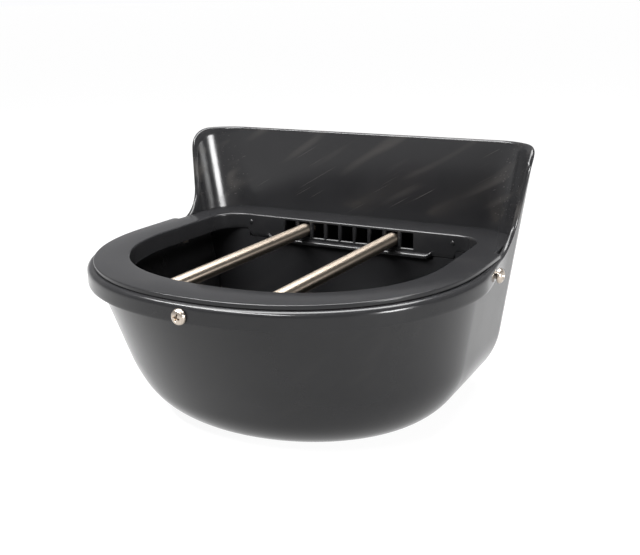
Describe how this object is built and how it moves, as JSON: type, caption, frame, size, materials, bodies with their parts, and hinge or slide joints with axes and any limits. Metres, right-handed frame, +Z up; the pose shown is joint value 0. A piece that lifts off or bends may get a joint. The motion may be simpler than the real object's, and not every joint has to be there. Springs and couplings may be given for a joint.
{
  "type": "livestock water bowl",
  "caption": "Wall-hung plastic livestock water bowl with splash wall, rim plate, steel guard bars, float valve and drain bung.",
  "frame": {"origin": "bottom centre of the object's box, on the surface that the bowl stands on", "axes": "+Z up, +Y towards the wall behind the splash wall, -Y towards the drinking animal, +X to the right seen from the front"},
  "size_m": [0.3408, 0.2943, 0.2145],
  "materials": {
    "moulded_black": "black injection-moulded polypropylene, satin gloss",
    "stainless_steel": "bright drawn stainless steel",
    "brass": "machined brass",
    "rubber": "black moulded rubber",
    "acetal_white": "white acetal",
    "float_blue": "blue moulded polyethylene",
    "bung_grey": "dark grey moulded rubber"
  },
  "bodies": {
    "bowl_body": {"bowl": "moulded_black", "rim_plate": "moulded_black", "valve_guard": "moulded_black", "guard_bar_left": "stainless_steel", "guard_bar_right": "stainless_steel", "front_screw": "stainless_steel", "left_screw": "stainless_steel", "right_screw": "stainless_steel", "front_nut": "stainless_steel", "left_nut": "stainless_steel", "right_nut": "stainless_steel", "inlet_fitting": "brass", "inlet_washer": "rubber", "inlet_locknut": "brass", "valve_body": "acetal_white", "lever_pin": "stainless_steel"},
    "float_lever": {"lever_arm": "stainless_steel", "float": "float_blue", "float_stop_nut": "brass", "float_end_nut": "brass"},
    "piston": {"valve_piston": "acetal_white", "piston_seal": "rubber"},
    "drain": {"drain_bung": "bung_grey", "drain_seal": "rubber"}
  },
  "joints": [
    {"name": "float_lever_hinge", "type": "hinge", "parent": "bowl_body", "child": "float_lever", "pos_m": [-0.0875, 0.1278, 0.0955], "axis": [0, -1, 0], "range_deg": [0, 20]},
    {"name": "valve_piston_slide", "type": "slide", "parent": "bowl_body", "child": "piston", "axis": [-1, 0, 0], "range_m": [0, 0.00345]},
    {"name": "drain_bung_lift", "type": "slide", "parent": "bowl_body", "child": "drain", "axis": [0, 0, 1], "range_m": [0, 0.05]}
  ],
  "couplings": [
    {"joint": "valve_piston_slide", "follows": "float_lever_hinge", "m_per_rad": 0.0098}
  ]
}
